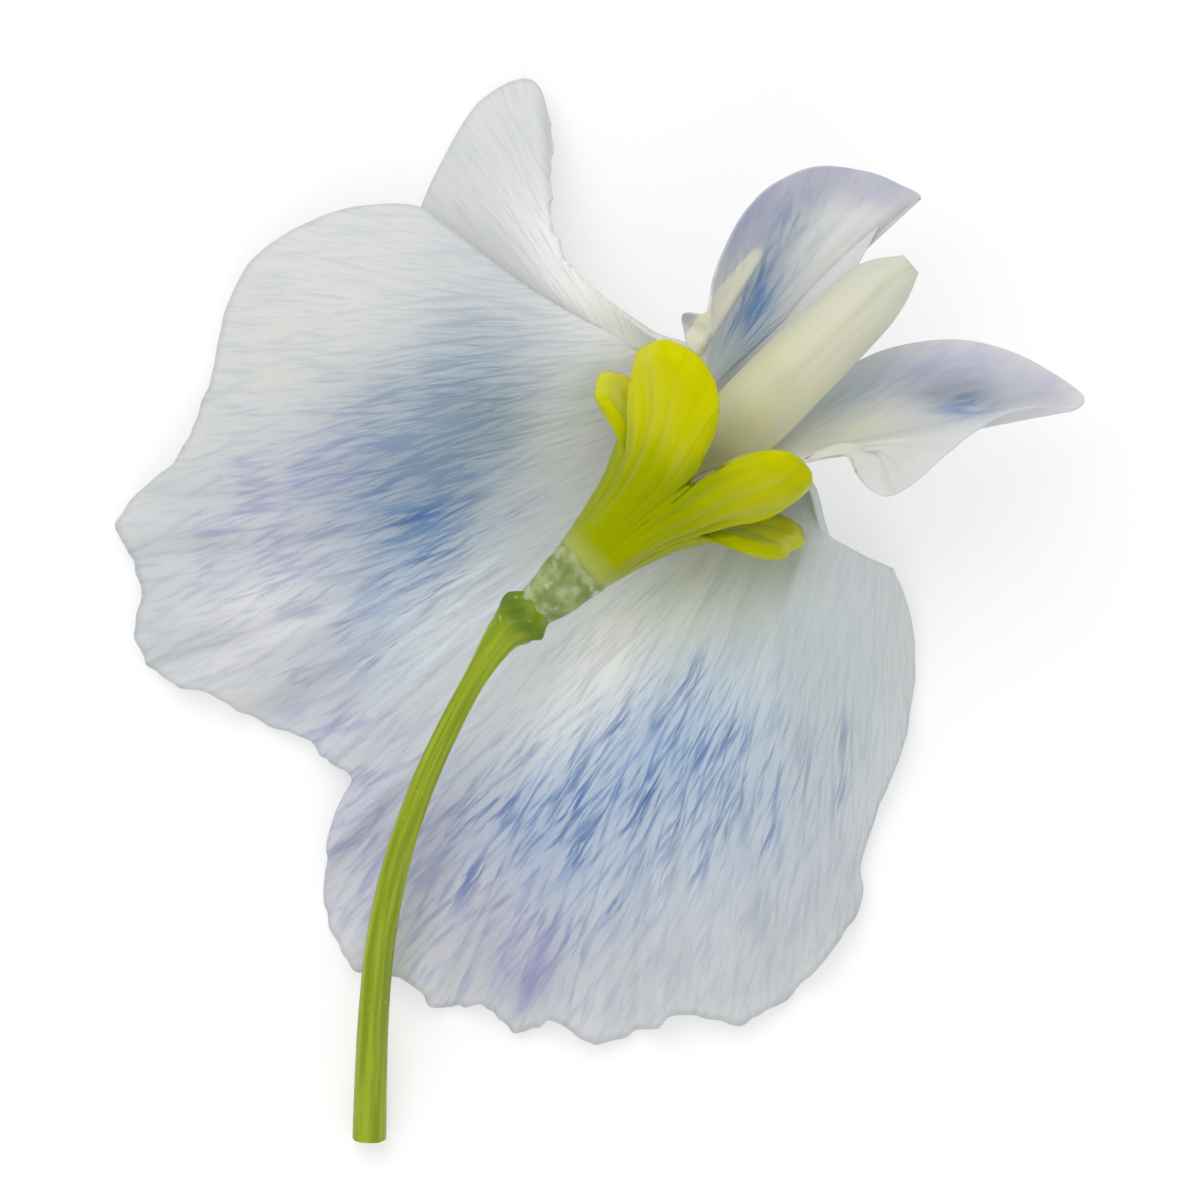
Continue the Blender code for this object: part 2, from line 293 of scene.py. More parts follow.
# The keel, from its claw to its tip: y, x, height above the calyx's axis, half width of the
# sheet along its curve, and half of the angle that the sheet is rolled through.
KEEL_STATIONS = (
    (CLAW_END, 0.0, 0.6, 0.32, 10),
    (1.2, -0.1, 0.9, 0.8, 30),
    (4.6, 0.05, 1.9, 2.7, 82),
    (8.6, -0.15, 2.5, 2.8, 88),
    (12.4, -0.3, 2.3, 2.45, 82),
    (14.2, -0.35, 1.8, 1.9, 76),
    (15.8, -0.2, 1.2, 0.6, 60),
)

# The calyx: a funnel of these radii along its axis, and five teeth round its mouth.
FUNNEL = ((-6.6, 1.45), (-4.6, 1.7), (-2.6, 2.25), (-1.2, 2.95))
# Each tooth: turn about the axis from straight up, length, half width at its base, how far its
# tip leans out from the axis, how far its tip sweeps about the axis, bluntness, and twist. The
# turn, half width, lean and sweep are in degrees. A twist above 0 moves a tooth's lower edge
# forward along the axis.
TEETH = (
    (-26, 7.4, 33, 50, -14, 2.1, -0.45),
    (38, 7.5, 23, 38, -7, 2.7, 0.0),
    (-91, 4.3, 25, 82, -11, 1.7, 0.85),
    (104, 5.3, 31, 57, 0, 2.0, 0.62),
    (180, 3.2, 26, 8, 0, 1.6, 0.0),
)
FUNNEL_LEAN = 28  # degrees that the funnel's wall leans out where the teeth begin
GAP_LENGTH = 0.35  # of the wall beyond the funnel, between teeth
SEAM_TURN = 11  # of the seam between the two upper teeth
SEAM_LENGTH = 1.3  # that the two upper teeth are joined for beyond GAP_LENGTH
TOOTH_ROWS = 36  # of points along a tooth
CALYX_THICKNESS = 0.6
COLLAR_THICKNESS = 0.3

# The sleeve between the calyx and the stalk: station on the axis and radius of its wall.
SLEEVE = ((-9.8, 0.85), (-9.3, 1.05), (-8.4, 1.2), (-7.5, 1.34), (-6.7, 1.44), (-6.0, 1.35))

# The stalk, from its peg in the collar to its cut end: x, y, height and radius.
STALK = (
    (0.0, -7.8, 10.5, 0.5),
    (0.0, -9.4, 10.5, 0.5),
    (0.0, -9.65, 10.5, 1.0),
    (-0.1, -10.9, 10.5, 1.2),
    (0.0, -12.2, 10.4, 0.85),
    (0.6, -14.4, 10.1, 0.58),
    (1.6, -17.2, 9.3, 0.58),
    (3.0, -20.4, 8.0, 0.62),
    (4.9, -23.8, 6.2, 0.68),
    (7.2, -27.0, 4.4, 0.74),
    (9.8, -29.9, 2.8, 0.78),
    (12.3, -32.4, 1.6, 0.82),
    (14.6, -34.6, 0.88, 0.86),
)
STALK_NODE = -10.6  # where the stalk thickens into a ragged knot
KNOT_LUMPS = ((0.45, 2.6, -10.2, 0.5), (0.35, -0.9, -11.2, 0.45))  # height, turn, place, length

# Linear colours.
PETAL_WHITE = (0.62, 0.632, 0.632)
# Painted light, for the pale paint.
PETAL_PAINTED_LIGHT = (0.92, 0.92, 0.90)
PETAL_SHADE = (0.48, 0.51, 0.57)
PETAL_BLUE = (0.10, 0.185, 0.36)
PETAL_VIOLET = (0.23, 0.23, 0.46)
# Partly the petals' own grey and partly painted shade.
PETAL_GREY_AND_SHADE = (0.20, 0.275, 0.355)
PETAL_GREEN = (0.46, 0.55, 0.50)
PETAL_CREAM = (0.68, 0.67, 0.54)
PETAL_COOL = (0.46, 0.60, 0.74)
WASH_BLUE = (0.03, 0.18, 0.48)
DARK_BLUE = (0.05, 0.125, 0.34)
PAINTS = ("painted_light", "cool", "blue", "violet", "grey_and_shade", "green", "cream", "dark")
CALYX_OLIVE = (0.27, 0.315, 0.0)
CALYX_YELLOW = (0.57, 0.56, 0.0)
STALK_GREEN = (0.20, 0.28, 0.002)
STALK_LIGHT = (0.32, 0.39, 0.015)

# The stage, in metres and watts.
FLOOR_REACH = 0.6
FLOOR_GREY = 0.58
FLOOR_GLOW = 0.42
WORLD_STRENGTH = 0.76
LIGHTS = (  # name, place, diameter and power
    ("key", (-0.28, 0.06, 0.38), 0.45, 0.85),
    ("fill", (0.30, -0.20, 0.40), 0.40, 0.30),
)
VIEW_CENTRE = (1.9, -7.1, 0)  # in the flower's own frame, in millimetres
VIEW_WIDTH = 0.061  # that the camera takes in at VIEW_HEIGHT above the surface
VIEW_HEIGHT = 0.008
VIEW_LENS = 250  # long, so that the view has little perspective
VIEW_TURN = 48  # degrees, so that the calyx points to the upper right


# ---------------------------------------------------------------- curves and sheets


def spline(points, at):
    """The smooth curve through the rows of points, at each place in at, from 0 to 1."""
    points = np.asarray(points, float)
    last = len(points) - 1
    place = np.clip(np.asarray(at, float) * last, 0, last - 1e-9)
    index = place.astype(int)
    f = (place - index).reshape(-1, *[1] * (points.ndim - 1))
    ends = (2 * points[:1] - points[1:2], points, 2 * points[-1:] - points[-2:-1])
    a, b, c, d = (np.concatenate(ends)[index + k] for k in range(4))
    return 0.5 * (
        2 * b + (c - a) * f + (2 * a - 5 * b + 4 * c - d) * f**2 + (3 * (b - c) + d - a) * f**3
    )


def loft(ribs, across, along):
    """A sheet over ribs that each hold the same number of points, at these places on each."""
    columns = spline(ribs, across)
    return np.stack([spline(column, along) for column in columns])


def places(coarse, split, fine):
    """Places from 0 to 1, coarse steps of them up to split and fine steps after it."""
    first = np.linspace(0, split, coarse, endpoint=False)
    return np.concatenate((first, np.linspace(split, 1, fine)))


def waves(at, counts, heights, seed):
    """A sum of sines that run counts times from 0 to 1, each with its own height and phase."""
    phases = np.random.default_rng(seed).uniform(0, math.tau, len(counts))
    return sum(h * np.sin(math.tau * n * at + p) for n, h, p in zip(counts, heights, phases))


def smooth_step(low, high, at):
    """0 at low and 1 at high, smooth between them and held beyond them."""
    t = np.clip((at - low) / (high - low), 0, 1)
    return t * t * (3 - 2 * t)


def thinned(thickness, share):
    """The first of two thicknesses where share is 0, and the second where it is 1."""
    return thickness[0] + (thickness[1] - thickness[0]) * share


def blob(x, y, centre, radii, turn=0):
    """A soft spot that is 1 at its centre and fades over its radii, turned by turn degrees."""
    a = math.radians(turn)
    right, up = x - centre[0], y - centre[1]
    across = (right * math.cos(a) + up * math.sin(a)) / radii[0]
    along = (up * math.cos(a) - right * math.sin(a)) / radii[1]
    return np.exp(-(across**2) - along**2)


def spotted(x, y, spots):
    """The sum of soft spots, each given as its strength and then what blob() takes."""
    return sum(strength * blob(x, y, *shape) for strength, *shape in spots)


def accents(x, y, spots):
    """Short streaks on the standard, each at its own x and y and of its own strength."""
    total = 0
    for at_x, at_y, strength in spots:
        turn = math.degrees(math.atan2(STREAK_CENTRE[0] - at_x, at_y - STREAK_CENTRE[1]))
        total = total + strength * blob(x, y, (at_x, at_y), ACCENT_RADII, turn)
    return total


def sheet_normals(sheet, ring=False):
    if ring:
        across = np.roll(sheet, -1, 0) - np.roll(sheet, 1, 0)
    else:
        across = np.gradient(sheet, axis=0)
    normal = np.cross(across, np.gradient(sheet, axis=1))
    return normal / np.maximum(np.linalg.norm(normal, axis=2, keepdims=True), 1e-12)


def reach(sheet):
    """How far each point of a sheet lies from its rib's start, along the rib."""
    steps = np.linalg.norm(np.diff(sheet, axis=1), axis=2)
    return np.concatenate((np.zeros((len(sheet), 1)), np.cumsum(steps, axis=1)), axis=1)


def solid(name, sheet, thickness, node, material, paint=None, ring=False, uv=None):
    """A closed solid of that thickness about a sheet, which stands for a CAD node.

    Unless uv gives it, UV holds how far across the sheet a point is, from 0 to 1, and its reach
    in millimetres.
    paint maps attribute names to their values over the sheet.
    """
    across, along = sheet.shape[:2]
    half = np.broadcast_to(np.asarray(thickness) / 2, sheet.shape[:2])[..., None]
    offset = sheet_normals(sheet, ring) * half
    layers = np.stack((sheet + offset, sheet - offset)).reshape(-1, 3)
    index = np.arange(2 * across * along).reshape(2, across, along)
    if ring:
        index = np.concatenate((index, index[:, :1]), axis=1)
    top, under = index

    def quads(a, b, c, d):
        return np.stack((a, b, c, d), axis=-1).reshape(-1, 4)

    faces = [
        quads(top[:-1, :-1], top[1:, :-1], top[1:, 1:], top[:-1, 1:]),
        quads(under[:-1, :-1], under[:-1, 1:], under[1:, 1:], under[1:, :-1]),
        quads(top[:-1, 0], under[:-1, 0], under[1:, 0], top[1:, 0]),
        quads(top[:-1, -1], top[1:, -1], under[1:, -1], under[:-1, -1]),
    ]
    if not ring:
        faces.append(quads(top[0, :-1], top[0, 1:], under[0, 1:], under[0, :-1]))
        faces.append(quads(top[-1, :-1], under[-1, :-1], under[-1, 1:], top[-1, 1:]))
    mesh = bpy.data.meshes.new(name)
    mesh.from_pydata((layers * MM + np.array(FLOWER)).tolist(), [], np.concatenate(faces).tolist())
    mesh.shade_smooth()

    if uv is None:
        far = np.broadcast_to(np.linspace(0, 1, across)[:, None], (across, along))
        uv = np.stack((far, reach(sheet)), axis=-1)
    corners = np.zeros(len(mesh.loops), int)
    mesh.loops.foreach_get("vertex_index", corners)
    layer = mesh.uv_layers.new(name="UVMap")
    layer.uv.foreach_set("vector", np.tile(uv.reshape(-1, 2), (2, 1))[corners].ravel())
    for attribute, values in (paint or {}).items():
        data = mesh.attributes.new(attribute, "FLOAT", "POINT")
        data.data.foreach_set("value", np.tile(np.broadcast_to(values, (across, along)).ravel(), 2))
    return show(name, mesh, node, material)


def show(name, mesh, node, material):
    """Puts a visible piece in the scene, in place of its CAD node."""
    mesh.materials.append(material)
    piece = bpy.data.objects.new(name, mesh)
    bpy.context.scene.collection.objects.link(piece)
    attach(piece, "root")
    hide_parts(node)
    return piece


# ---------------------------------------------------------------- shader nodes


def add(tree, kind, inputs=None, **settings):
    """A node with these settings, and inputs given as numbers, colours or other sockets."""
    node = tree.nodes.new(kind)
    for key, value in settings.items():
        setattr(node, key, value)
    for key, value in (inputs or {}).items():
        if isinstance(value, bpy.types.NodeSocket):
            tree.links.new(value, node.inputs[key])
        else:
            node.inputs[key].default_value = value
    return node


def maths(tree, operation, a, b=0.0, c=0.0):
    return add(tree, "ShaderNodeMath", {0: a, 1: b, 2: c}, operation=operation).outputs[0]


def mix(tree, factor, a, b):
    """a turned into b by factor; a and b are linear colours or colour sockets."""
    a, b = (value if isinstance(value, bpy.types.NodeSocket) else (*value, 1) for value in (a, b))
    node = add(tree, "ShaderNodeMix", {0: factor, 6: a, 7: b}, data_type="RGBA", clamp_factor=True)
    return node.outputs[2]


def painted(tree, name):
    return add(tree, "ShaderNodeAttribute", attribute_name=name).outputs["Fac"]


def ramp(tree, value, low, high):
    """value turned into 0 at low and 1 at high, and held there beyond them."""
    inputs = {0: value, 1: low, 2: high}
    return add(tree, "ShaderNodeMapRange", inputs, interpolation_type="SMOOTHSTEP").outputs[0]


def streaks(tree, width, wide, long, turn=0, detail=3.0, shift=0.0):
    """Noise in streaks over the UV map, wide and long in millimetres.

    width is how many millimetres one unit of the map's x stands for, and turn is the angle in
    degrees between the streaks and the ribs.
    """
    uv = add(tree, "ShaderNodeTexCoord").outputs["UV"]
    flat = add(tree, "ShaderNodeMapping", {0: uv, 2: (0, 0, math.radians(turn)), 3: (width, 1, 1)})
    inputs = {0: flat.outputs[0], 1: (shift, shift, 0), 3: (1 / wide, 1 / long, 1)}
    mapping = add(tree, "ShaderNodeMapping", inputs)
    inputs = {"Vector": mapping.outputs[0], "Scale": 1.0, "Detail": detail}
    return add(tree, "ShaderNodeTexNoise", inputs).outputs[0]


def grain(tree, size, detail=3.0):
    """Noise in space, with features of about size millimetres."""
    place = add(tree, "ShaderNodeTexCoord").outputs["Object"]
    inputs = {"Vector": place, "Scale": 1 / (size * MM), "Detail": detail}
    return add(tree, "ShaderNodeTexNoise", inputs).outputs[0]


def bump(tree, shader, height, depth, strength=1.0):
    """Roughens a shader's normal by a height from 0 to 1, of that depth in millimetres."""
    inputs = {"Height": height, "Strength": strength, "Distance": depth * MM}
    node = add(tree, "ShaderNodeBump", inputs)
    tree.links.new(node.outputs[0], shader.inputs["Normal"])


def new_material(name, roughness, subsurface=0.0, **sockets):
    material = bpy.data.materials.new(name)
    material.use_nodes = True
    shader = material.node_tree.nodes["Principled BSDF"]
    shader.inputs["Roughness"].default_value = roughness
    shader.inputs["Subsurface Weight"].default_value = subsurface
    shader.inputs["Subsurface Radius"].default_value = (1.0, 0.9, 0.7)
    shader.inputs["Subsurface Scale"].default_value = 0.5 * MM
    for socket, value in sockets.items():
        shader.inputs[socket.replace("_", " ")].default_value = value
    return material, material.node_tree, shader


def ticks(tree, noise, paint, least, most):
    """Streaks where the noise is high, and more of them where the paint is strong."""
    value = maths(tree, "MULTIPLY_ADD", paint, 0.12, noise)
    strength = maths(tree, "MULTIPLY", ramp(tree, paint, 0.0, 0.5), most)
    return maths(tree, "MULTIPLY", ramp(tree, value, least, least + 0.26), strength)


def times(tree, a, b, c):
    """The product of three numbers or sockets."""
    return maths(tree, "MULTIPLY", maths(tree, "MULTIPLY", a, b), c)


def petal_material(name, width, crisp):
    """A petal with feathery streaks, tinted by its paint, which may be any of PAINTS. The pale
    paint is painted light, and the grey paint is partly painted shade.

    width is how many millimetres one unit of the UV map's x stands for, and crisp is how
    strong the streaks are.
    """
    material, tree, shader = new_material(name, 0.6, 0.2)
    broad = streaks(tree, width, 1.6, 5.5, 6, 2.0)
    left = streaks(tree, width, 0.32, 4.2, 7, 4.0, 3.7)
    right = streaks(tree, width, 0.30, 3.4, -9, 4.0, 9.1)
    fine = streaks(tree, width, 0.15, 2.6, -2, 3.0, 5.3)
    feather = maths(tree, "MULTIPLY_ADD", fine, 0.5, maths(tree, "MAXIMUM", left, right))
    feather = maths(tree, "SUBTRACT", feather, 0.25)
    patch = maths(tree, "MULTIPLY_ADD", ramp(tree, broad, 0.35, 0.65), 0.4, 0.8)
    cluster = maths(tree, "MULTIPLY_ADD", ramp(tree, grain(tree, 3.0, 3), 0.42, 0.58), 0.85, 0.35)
    blue, violet, grey_and_shade = (painted(tree, paint) for paint in ("blue", "violet", "grey_and_shade"))

    colour = mix(tree, painted(tree, "cool"), PETAL_WHITE, PETAL_COOL)
    # The pale paint is painted light.
    colour = mix(tree, painted(tree, "painted_light"), colour, PETAL_PAINTED_LIGHT)
    colour = mix(tree, painted(tree, "green"), colour, PETAL_GREEN)
    colour = mix(tree, painted(tree, "cream"), colour, PETAL_CREAM)
    shade = times(tree, ramp(tree, feather, 0.46, 0.72), crisp, 0.48)
    colour = mix(tree, shade, colour, PETAL_SHADE)
    soft = maths(tree, "MULTIPLY_ADD", ramp(tree, feather, 0.42, 0.70), 0.9, 0.5)
    wash_and_painted_light = maths(tree, "MULTIPLY_ADD", ramp(tree, feather, 0.40, 0.74), 0.5, 0.7)
    # The grey wash is partly painted shade.
    colour = mix(tree, maths(tree, "MULTIPLY", grey_and_shade, wash_and_painted_light), colour, PETAL_GREY_AND_SHADE)
    colour = mix(tree, times(tree, violet, patch, 0.42), colour, PETAL_VIOLET)
    colour = mix(tree, times(tree, blue, soft, 0.60), colour, WASH_BLUE)
    violet, blue = (maths(tree, "MULTIPLY", paint, cluster) for paint in (violet, blue))
    colour = mix(tree, ticks(tree, feather, violet, 0.50, 0.40 * crisp), colour, PETAL_VIOLET)
    colour = mix(tree, ticks(tree, feather, blue, 0.56, 0.62 * crisp), colour, PETAL_BLUE)
    colour = mix(tree, ticks(tree, feather, blue, 0.70, 0.60 * crisp), colour, DARK_BLUE)
    dark = maths(tree, "MULTIPLY", painted(tree, "dark"), ramp(tree, feather, 0.44, 0.66))
    colour = mix(tree, dark, colour, DARK_BLUE)
    tree.links.new(colour, shader.inputs["Base Color"])
    bump(tree, shader, feather, 0.02 + 0.04 * crisp, 0.5)
    return material


def keel_material():
    material, tree, shader = new_material("keel_cream", 0.55, 0.25)
    along = painted(tree, "tip")
    colour = mix(tree, ramp(tree, along, 0.35, 1.0), (0.63, 0.62, 0.40), (0.62, 0.62, 0.53))
    fibres = streaks(tree, 6.5, 0.35, 3.0)
    colour = mix(tree, ramp(tree, fibres, 0.4, 0.75), colour, (0.58, 0.59, 0.47))
    seam = maths(tree, "MULTIPLY", painted(tree, "seam"), 0.2)
    colour = mix(tree, seam, colour, (0.46, 0.48, 0.26))
    tree.links.new(colour, shader.inputs["Base Color"])
    bump(tree, shader, fibres, 0.06, 0.4)
    return material


def calyx_material():
    material, tree, shader = new_material(
        "calyx_wax", 0.22, 0.1, Specular_IOR_Level=0.35, Specular_Tint=(1.0, 1.0, 0.0, 1.0)
    )
    fibres = streaks(tree, 24, 0.32, 5.0)
    cloud = grain(tree, 1.8)
    lift = maths(tree, "MULTIPLY_ADD", maths(tree, "ADD", cloud, fibres), 0.3, -0.3)
    # The tip paint also carries painted shade on the calyx's right side and in the grooves between
    # teeth.
    shade = maths(tree, "ADD", painted(tree, "tip"), lift)
    colour = mix(tree, ramp(tree, shade, 0.15, 1.0), CALYX_OLIVE, CALYX_YELLOW)
    # A painted highlight along the teeth's rims.
    rim_highlight = maths(tree, "MULTIPLY", painted(tree, "rim_highlight"), 0.2)
    colour = mix(tree, rim_highlight, colour, (0.60, 0.61, 0.01))
    colour = mix(tree, painted(tree, "foot"), colour, (0.33, 0.38, 0.10))
    tree.links.new(colour, shader.inputs["Base Color"])
    bump(tree, shader, fibres, 0.10, 0.45)
    return material


def sleeve_material():
    material, tree, shader = new_material("collar_clear", 0.3, 0.3)
    cloud = grain(tree, 1.2, 3)
    low, high = (0.15, 0.22, 0.03), (0.36, 0.40, 0.18)
    colour = mix(tree, ramp(tree, cloud, 0.35, 0.65), low, high)
    colour = mix(tree, painted(tree, "foot"), colour, (0.33, 0.38, 0.08))
    colour = mix(tree, ramp(tree, grain(tree, 0.8, 2), 0.56, 0.74), colour, (0.46, 0.48, 0.32))
    tree.links.new(colour, shader.inputs["Base Color"])
    bump(tree, shader, cloud, 0.10, 0.4)
    return material


def stalk_material():
    material, tree, shader = new_material("stalk_green", 0.42, 0.1, Specular_IOR_Level=0.25)
    fibres = streaks(tree, 4.4, 0.3, 7.0, 0, 4.0)
    colour = mix(tree, ramp(tree, fibres, 0.38, 0.66), STALK_GREEN, STALK_LIGHT)
    knot = maths(tree, "MULTIPLY", painted(tree, "knot"), 0.95)
    colour = mix(tree, knot, colour, (0.095, 0.175, 0.003))
    colour = mix(tree, ramp(tree, grain(tree, 0.5), 0.64, 0.78), colour, (0.36, 0.44, 0.05))
    tree.links.new(colour, shader.inputs["Base Color"])
    bump(tree, shader, fibres, 0.08, 0.6)
    return material


# ---------------------------------------------------------------- the flower's pieces


def standard_claw(turn):
    """A rib's points in the calyx and round its lip, at this turn about the axis from below."""
    across, down = math.sin(turn), math.cos(turn)
    base = math.sin(turn * 0.75), math.cos(turn * 0.75)
    return [
        (1.35 * base[0], CLAW_END, CALYX_HEIGHT - 1.35 * base[1]),
        (2.2 * across, MOUTH, CALYX_HEIGHT - 2.2 * down),
        (3.4 * across, 3.3, CALYX_HEIGHT - 3.1 * down),
        (5.0 * across, 4.4 + 0.4 * across**2, CALYX_HEIGHT - 4.5 * down),
        (7.6 * across, 1.4 + 2.9 * across**2, CALYX_HEIGHT - 5.9 + 2.9 * across**2),
    ]


def standard_petal():
    last_row = len(STANDARD_MARGIN) - 1
    # Half way out, the margin's notches have evened out.
    even = np.array(STANDARD_MARGIN)[:, :2]
    for _ in range(6):
        even[7:-1] = (even[6:-2] + 2 * even[7:-1] + even[8:]) / 4
    ribs = []
    for i, (x, y, height, middle_height) in enumerate(STANDARD_MARGIN):
        turn = STANDARD_SPREAD * (2 * i / last_row - 1)
        share = MIDDLE_SHARE + 0.27 * smooth_step(last_row - 3.5, last_row, i)
        middle = FLAP_MIDDLE[i] if i < len(FLAP_MIDDLE) else share * even[i]
        ribs.append([*standard_claw(turn), (*middle, middle_height), (x, y, height)])
    across = np.linspace(0, 1, 560)
    sheet = loft(ribs, across, places(22, 0.62, 62))

    u = across[:, None]
    far = reach(sheet)
    out = far / far[:, -1:]
    row = u * last_row
    fold = np.exp(-(((row - FOLD_ROW) / 1.6) ** 2))
    # The upper margin of either lobe is smooth, and the flap nearly so.
    # So are the place where the two lobes meet and the two deepest notches.
    free = (0.15 + 0.85 * smooth_step(9, 13, row)) * (1 - 0.75 * smooth_step(37, 42, row))
    free = free * (1 - 0.9 * fold)
    for calm in CALM_ROWS:
        free = free * (1 - 0.9 * np.exp(-(((row - calm) / 1.5) ** 2)))
    ruffle = waves(u, (9, 15, 24, 41), (0.30, 0.28, 0.22, 0.08), 4)
    ruffle = ruffle * smooth_step(0.6, 1.0, out) ** 1.5
    furrows = waves(u, (28, 43, 67), (0.06, 0.06, 0.04), 9) * smooth_step(0.5, 0.85, out)
    dents = waves(u + 0.02 * np.sin(far / 3), (5, 11, 19), (0.20, 0.12, 0.08), 12)
    dents = dents * smooth_step(0.45, 0.8, out) * np.sin(far / 4.1 + 6 * u)
    sheet[..., 2] += (ruffle + furrows + dents) * free
    # The fine scallops of the margin lie in the sheet.
    outward = sheet[:, -1, :2] - sheet[:, -12, :2]
    outward /= np.linalg.norm(outward, axis=1, keepdims=True)
    scallop = waves(across, (19, 31, 52, 88, 137), (0.14, 0.11, 0.08, 0.05, 0.02), 21)[:, None]
    sheet[..., :2] += (scallop * smooth_step(0.75, 1.0, out) * free)[..., None] * outward[:, None]
    # The flap's side has small notches.
    aside = sheet[6] - sheet[0]
    aside /= np.linalg.norm(aside, axis=1, keepdims=True)
    notch = (0.14 * np.sin(2.3 * far) + 0.12 * np.sin(4.1 * far)) * smooth_step(0.012, 0.0, u)
    sheet += (notch * smooth_step(0.6, 0.75, out))[..., None] * aside
    # Near the surface the sheet levels out above FLOOR_GAP.
    low = sheet[..., 2] - FLOOR_GAP
    level = LEVEL_HEIGHT * np.exp(np.minimum(low - LEVEL_HEIGHT, 0) / LEVEL_HEIGHT)
    sheet[..., 2] = FLOOR_GAP + np.where(low > LEVEL_HEIGHT, low, level)

    x, y = sheet[..., 0], sheet[..., 1]
    on_top = 1 - smooth_step(FOLD_ROW + 0.3, FOLD_ROW - 0.3, row)
    wash_and_painted_light = {name: spotted(x, y, spots) for name, spots in STANDARD_SPOTS.items()}
    wash_and_painted_light["violet"] = wash_and_painted_light["violet"] + accents(x, y, VIOLET_STREAKS)
    wash_and_painted_light["dark"] = accents(x, y, DARK_STREAKS)
    wash_and_painted_light["green"] = (
        0.55 * (1 - smooth_step(5.0, 12.0, np.hypot(x, y - 1))) * smooth_step(-3, 5, x)
        + 0.4 * blob(x, y, (-6.6, 0.2), (1.0, 2.4), 20)
        + 0.45 * blob(x, y, (13.5, -1.0), (5.0, 5.5))
    )
    # The flap shows the petal's other side, which has only its cream spots and the pale spots of
    # painted light.
    paint = {name: values if name == "painted_light" else values * on_top for name, values in wash_and_painted_light.items()}
    paint["cream"] = (
        0.45 * blob(x, y, (-7.5, 3.4), (4.0, 1.6), -10)
        + 0.4 * blob(x, y, (4.5, -1.5), (3.5, 3.0))
        + 0.8 * (1 - smooth_step(0.08, 0.25, out))
        + 0.3 * blob(x, y, (-16.5, -12.0), (5.0, 11.0))
    )
    thickness = thinned(STANDARD_THICKNESS, smooth_step(0.75, 1.0, out))
    # The streaks fan out from a centre: UV is the turn about it, in radians, and the distance.
    pairs = zip(FLAP_STREAK_CENTRE, STREAK_CENTRE)
    centre_x, centre_y = (np.where(row < FOLD_ROW, flap, lobes) for flap, lobes in pairs)
    fan_turn = np.arctan2(x - centre_x, centre_y - y)
    fan = np.stack((fan_turn, np.hypot(x - centre_x, y - centre_y)), axis=-1)
    material = petal_material("standard_petal", STANDARD_STREAK_WIDTH, 1.0)
    node, slot = "standard_petal", "standard"
    solid("standard_petal_fine", sheet, thickness, node, material, paint, uv=fan)


def wing_petal(margin, side, node, paint_of, relief_of, seed):
    """A wing. side is -1 for the left wing and 1 for the right one.

    paint_of and relief_of give its paint and its relief in height at each x and y.
    """
    ribs = []
    for i, (x, y, height, shift) in enumerate(margin):
        t = i / (len(margin) - 1)
        lip = Vector((side * (3.3 - 1.3 * t), 4.2, CALYX_HEIGHT + 1.1 - 1.9 * t))
        edge = Vector((x, y, height))
        middle = (lip + edge) / 2 - Vector((0, 0, WING_DISH * math.sin(math.pi * t)))
        middle.y += shift
        claw = Vector((side * 0.95, CLAW_END, CALYX_HEIGHT + 1.0 - 1.1 * t))
        throat = Vector((side * 1.6, MOUTH, CALYX_HEIGHT + 1.5 - 1.8 * t))
        ribs.append([claw, throat, lip, middle, edge.lerp(middle, 0.3), edge])
    across = np.linspace(0, 1, 240)
    sheet = loft(ribs, across, places(20, 0.4, 80))
    u = across[:, None]
    far = reach(sheet)
    out = far / far[:, -1:]
    relief = waves(u, (4, 7, 13, 21), (0.10, 0.06, 0.04, 0.03), seed) * smooth_step(0.5, 0.9, out)
    relief = relief * smooth_step(0.2, 0.35, u) * smooth_step(0.75, 0.55, u)
    sheet[..., 2] += relief + relief_of(sheet[..., 0], sheet[..., 1])
    thickness = thinned(WING_THICKNESS, smooth_step(0.7, 1.0, out))
    paint = {paint_name: 0.0 for paint_name in PAINTS}
    paint |= paint_of(sheet[..., 0], sheet[..., 1])
    material = petal_material(node, WING_STREAK_WIDTH, 0.35)
    solid(node + "_fine", sheet, thickness, node, material, paint)


def left_wing_fold(x, y):
    """How far a narrow fold on the left wing's outer side is there, and how far it stands up."""
    a = math.radians(16)
    across = (x + 5.3) * math.cos(a) + (y - 8.0) * math.sin(a)
    along = (y - 8.0) * math.cos(a) - (x + 5.3) * math.sin(a)
    width = 0.55 * np.clip((3.2 - along) / 3.2, 0, 1)
    fold = smooth_step(-width - 0.15, -width + 0.1, across) * (1 - smooth_step(0.3, 0.45, across))
    fold = fold * smooth_step(3.1, 2.2, along) * smooth_step(-4.0, -2.6, along)
    return fold, fold * np.clip(across + width + 0.2, 0, 1)


def left_wing_relief(x, y):
    return 0.6 * left_wing_fold(x, y)[1] - 0.35 * blob(x, y, (-4.1, 9.0), (1.0, 3.2), 25)


